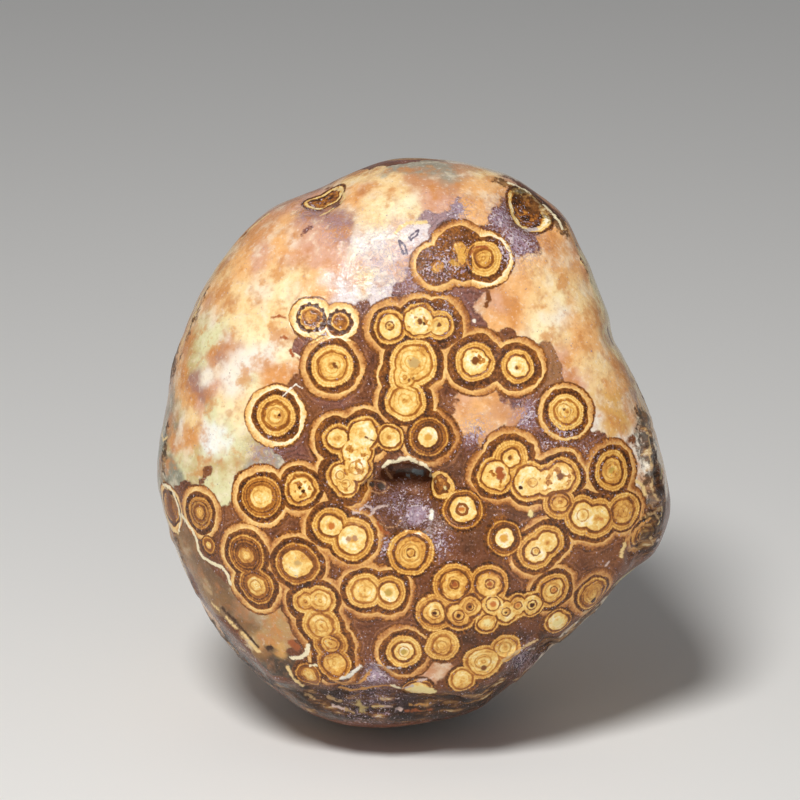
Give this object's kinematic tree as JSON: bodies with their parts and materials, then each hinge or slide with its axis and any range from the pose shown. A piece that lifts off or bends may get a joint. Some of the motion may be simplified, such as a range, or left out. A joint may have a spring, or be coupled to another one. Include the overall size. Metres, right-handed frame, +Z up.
{
  "type": "eye agate pebble",
  "caption": "Palm-size natural agate pebble with banded eye rings, a small hollow and crusty ledges, standing on a small flat spot.",
  "frame": {"origin": "middle of the small flat spot that the stone stands on", "axes": "+Z up, along the stone's height; the banded face looks towards -Y and leans back by 18 degrees; +X to the right of that face"},
  "size_m": [0.0449, 0.0371, 0.0505],
  "materials": {
    "agate": "natural waxy gloss, banded in cream, yellow, orange and dark brown"
  },
  "bodies": {
    "root": {"agate": "agate"}
  },
  "joints": []
}
